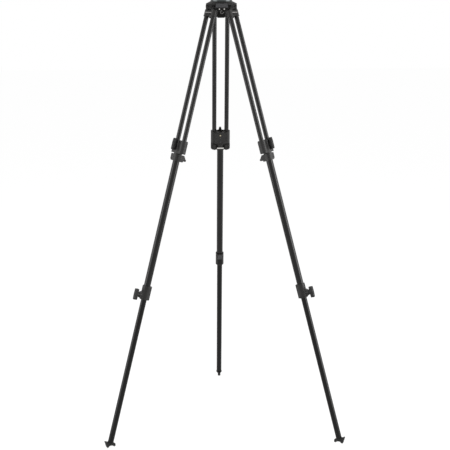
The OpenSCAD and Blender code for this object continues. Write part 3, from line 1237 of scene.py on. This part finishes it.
@dataclass
class LowerClamp:
    """The clamp on the middle tube: its inner pad, a dark plate of painted shade under it and its
    wing knob.
    """

    top: float = -1.115
    pad_x: float = -0.0179
    pad_out: float = 0.0005
    pad_seat: float = 0.0002
    pad_half: float = 0.0095
    pad_top: float = 0.004
    pad_bottom: float = 0.025
    pad_rim: float = 0.002
    pad_sink: float = 0.0004
    insert_top: float = 0.0265
    insert_bottom: float = 0.051
    insert_cuts: int = 3
    insert_rim: float = 0.0006
    insert_rise: float = -0.0003
    knob_drop: float = 0.039
    knob_edge: float = 0.0012
    end_rim: float = 0.0018
    end_rise: float = -0.0012
    rib_rim: float = 0.0015
    rib_rise: float = -0.0006
    rib_facing: float = 0.8
    grip: Grip = Grip(0.0156, 0.0295, 0.0335, 0.048, 0.0006)
    rise: Steps = ((0.0083, 0.93), (0.0057, 0.88))

    def build(self) -> None:
        """Model and dress the pad, the dark plate of painted shade and the wing knob."""
        dress_on_legs(self.pad(), Palette.PLATE, Stage.MIDDLE)
        # Painted shade: a dark plate for the recess under the pad
        dress_on_legs(self.insert(), Palette.RUBBER, Stage.MIDDLE)
        wing = self.wing()
        dress_on_legs(wing, Palette.MOULDED, Stage.CLAMP_WING, "clamp_knob")

    def plate(self, name: str, top: float, bottom: float) -> Piece:
        """Add a thin plate on the side towards the axis.

        Args:
            name: Name of the plate.
            top: Drop from the clamp's top to the plate's.
            bottom: Drop from there to the plate's bottom.

        Returns:
            The plate in the leg's frame.
        """
        low = (self.pad_x - self.pad_out, -self.pad_half, self.top - bottom)
        return add_box(name, low, (self.pad_x + self.pad_seat, self.pad_half, self.top - top))

    def pad(self) -> Piece:
        """A framed pad on the side towards the axis.

        Returns:
            The pad in the leg's frame.
        """
        pad = self.plate("clamp_pad", self.pad_top, self.pad_bottom)
        with editing(pad):
            sink(pad, facing(IN), self.pad_rim, (self.pad_sink, 0.0, 0.0))
        soften(pad, FINE)
        return pad

    def insert(self) -> Piece:
        """A dark ribbed plate under the pad: painted shade of the recess there.

        Returns:
            The plate in the leg's frame.
        """
        insert = self.plate("clamp_insert", self.insert_top, self.insert_bottom)
        with editing(insert):
            pick_faces(insert, facing(IN))
            bpy.ops.mesh.subdivide(number_cuts=self.insert_cuts)
            bpy.ops.mesh.inset(
                thickness=self.insert_rim, depth=self.insert_rise, use_individual=True
            )
        soften(insert, HAIR, steps=1)
        return insert

    def wing(self) -> Piece:
        """The bar knob with hollows in its ends and sides, its hub and its stud.

        Returns:
            The knob in the leg's frame.
        """
        bar = self.grip.bar([(way, self.rise) for way in SIDES])
        core, flank = self.grip.core, self.rib_facing
        with editing(bar):
            pick_faces(bar, lambda centre, normal: normal.x > FACING and abs(centre.z) > core)
            bpy.ops.mesh.inset(thickness=self.end_rim, depth=self.end_rise)
            pick_faces(bar, lambda centre, normal: abs(normal.y) > flank and abs(centre.z) > core)
            bpy.ops.mesh.inset(thickness=self.rib_rim, depth=self.rib_rise, use_individual=True)
        soften(bar, self.knob_edge, steps=3)
        return self.grip.mount("wing", bar, self.top - self.knob_drop)


@dataclass
class Foot:
    """The spiked foot, with its cross bolt and a ring on its collar."""

    tube_end: float = STANCE.tube_end
    foot_half: float = 0.006
    bolt_drop: float = 0.0075
    head: SocketHead = SocketHead(
        radius=0.0034, height=0.0016, rim=0.0014, depth=0.0008, edge=SMALL
    )
    collar_r: float = 0.0124
    ring_drop: float = 0.001
    ring_h: float = 0.0022
    ring_t: float = 0.0004

    def build(self) -> None:
        """Model and dress the bolt and the ring."""
        bolt = self.head.pair("foot_bolt", self.foot_half, self.tube_end - self.bolt_drop)
        dress_on_legs(bolt, Palette.CAST_SOFT, Stage.LOWER)
        dress_on_legs(self.ring(), Palette.RUBBER, Stage.LOWER)

    def ring(self) -> Piece:
        """A ring around the foot's collar.

        Returns:
            The ring in the leg's frame.
        """
        top = self.tube_end - self.ring_drop
        low, high = (0.0, 0.0, top - self.ring_h), (0.0, 0.0, top)
        ring = add_rod("foot_ring", self.collar_r, low, high, sides=64, hollow=True)
        thicken(ring, self.ring_t)
        soften(ring, HAIR, steps=1)
        return ring


class Solids:
    """The finishes of the solids that stay as they are."""

    CROWN = {
        "crown_body": Palette.CROWN,
        "bowl_insert": Palette.BOWL,
        "hinge_bolts": Palette.CAST_SOFT,
        "hinge_washers": Palette.RUBBER,
        "web_plates": Palette.PLATE,
        "ballast_hook": Palette.HOOK,
        "hook_screws": Palette.STEEL,
    }
    LEG = {
        "yoke": Palette.CAST,
        "mid_block": Palette.CAST_SOFT,
        "block_bush": Palette.NYLON,
        "block_screws": Palette.BRASS,
        "mid_knob": Palette.MOULDED,
        "spreader_collar": Palette.CAST_SOFT,
        "collar_clip": Palette.STEEL,
        "stop_ring": Palette.NYLON,
        "clamp_body": Palette.CAST,
        "clamp_bush": Palette.NYLON,
        "clamp_knob": Palette.MOULDED,
        "guide_sleeve": Palette.NYLON,
        "foot": Palette.MOULDED,
        "spikes": Palette.STEEL,
    }

    def build(self) -> None:
        """Give every solid its material."""
        for name, finish in self.CROWN.items():
            self.paint(name, PALETTE.get(finish))
        for leg in Leg:
            for name, finish in self.LEG.items():
                self.paint(f"{leg.word}_{name}", PALETTE.get(finish))
            for name in Palette.TUBES:
                self.paint(f"{leg.word}_{name}", PALETTE.tube(leg, name))

    def paint(self, node: str, material: Material) -> None:
        """Put one material on all slots of a solid.

        Args:
            node: The solid's name.
            material: Its material.
        """
        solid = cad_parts[node]
        for place in solid.material_slots:
            place.material = material
        if not solid.material_slots:
            solid.data.materials.append(material)


@dataclass(frozen=True)
class Softbox:
    """A soft rectangular lamp, with its power in watts."""

    name: str
    place: Point
    size: tuple[float, float]
    power: float

    def build(self, target: Point) -> None:
        """Add the lamp.

        Args:
            target: The point that it faces.
        """
        deselect_all()
        bpy.ops.object.light_add(type="AREA", location=self.place)
        lamp = bpy.context.object
        lamp.name = self.name
        lamp.data.shape = "RECTANGLE"
        lamp.data.size, lamp.data.size_y = self.size
        lamp.data.energy = self.power
        aim = Vector(target) - Vector(self.place)
        lamp.rotation_euler = aim.to_track_quat("-Z", "Y").to_euler()


@dataclass
class Studio:
    """White surroundings, soft lamps and the camera."""

    floor_size: float = 40.0
    floor_gap: float = 0.0005
    floor_grey: float = 0.9
    floor_matt: float = 0.9
    floor_glow: float = 1.2
    glow_share: float = 0.75
    ambient: float = 0.4
    lamps: tuple[Softbox, ...] = (
        Softbox("left_softbox", (-3.1, -1.0, -0.3), (2.4, 2.7), 66.0),
        Softbox("right_softbox", (3.1, -1.0, -0.3), (2.4, 2.7), 106.0),
        Softbox("top_softbox", (0.0, -0.6, 2.6), (3.0, 3.0), 22.0),
    )
    target: Point = (0.0, 0.0, -0.7)
    camera_at: Point = (-0.1421, -4.225, 0.0741)
    camera_turn: Point = (math.radians(77.404), math.radians(0.181), math.radians(-2.122))
    lens: float = 84.85
    sensor: float = 36.0
    far: float = 100.0

    def build(self) -> None:
        """Set the floor, the surroundings, the lamps and the camera."""
        bpy.context.scene.view_settings.view_transform = "Standard"
        self.floor()
        self.surroundings()
        for lamp in self.lamps:
            lamp.build(self.target)
        self.camera()

    def floor(self) -> None:
        """A plain pale floor that takes the soft shadow and is white where it is mirrored."""
        deselect_all()
        place = (0.0, 0.0, STANCE.floor_z - self.floor_gap)
        bpy.ops.mesh.primitive_plane_add(size=self.floor_size, location=place)
        floor = bpy.context.object
        floor.name = "studio_floor"
        tree = Shading("floor_white")
        tree.set("Base Color", (self.floor_grey, self.floor_grey, self.floor_grey, 1.0))
        tree.set("Roughness", self.floor_matt)
        tree.set("Specular IOR Level", 0.0)
        glow = tree.add("Emission")
        glow.inputs["Color"].default_value = WHITE
        glow.inputs["Strength"].default_value = self.floor_glow
        pale = tree.add("MixShader")
        pale.inputs["Fac"].default_value = self.glow_share
        tree.link(tree.shader.outputs["BSDF"], pale.inputs[1])
        tree.link(glow.outputs["Emission"], pale.inputs[2])
        seen = tree.add("MixShader")
        path = tree.add("LightPath").outputs
        shown = tree.either(path["Is Camera Ray"], path["Is Glossy Ray"])
        tree.link(shown, seen.inputs["Fac"])
        tree.link(tree.shader.outputs["BSDF"], seen.inputs[1])
        tree.link(pale.outputs["Shader"], seen.inputs[2])
        tree.link(seen.outputs["Shader"], tree.nodes["Material Output"].inputs["Surface"])
        floor.data.materials.append(tree.material)

    def surroundings(self) -> None:
        """White where it is seen or mirrored, and a plain soft light elsewhere."""
        world = bpy.data.worlds.new("studio")
        bpy.context.scene.world = world
        world.use_nodes = True
        tree = Tree(world.node_tree)
        sky = tree.nodes["Background"]
        sky.inputs["Color"].default_value = WHITE
        path = tree.add("LightPath").outputs
        shown = tree.either(path["Is Camera Ray"], path["Is Glossy Ray"])
        shown = tree.either(shown, path["Is Transmission Ray"])
        tree.link(tree.ramp(shown, (0.0, 1.0), self.ambient, 1.0), sky.inputs["Strength"])

    def camera(self) -> None:
        """Set the camera at the photograph's place."""
        deselect_all()
        bpy.ops.object.camera_add(location=self.camera_at, rotation=self.camera_turn)
        camera = bpy.context.object
        camera.name = "studio_camera"
        camera.data.sensor_width = self.sensor
        camera.data.lens = self.lens
        camera.data.clip_end = self.far
        bpy.context.scene.camera = camera


def main() -> None:
    """Build the tripod's pieces in order, then the studio."""
    logging.basicConfig(level=logging.INFO, format="%(name)s: %(message)s")
    for assembly in (Solids, Crown, Yoke, MidBlock, LowerClamp, Foot, Studio):
        assembly().build()
        LOG.info("%s is built", assembly.__name__)


if __name__ == "__main__":
    main()
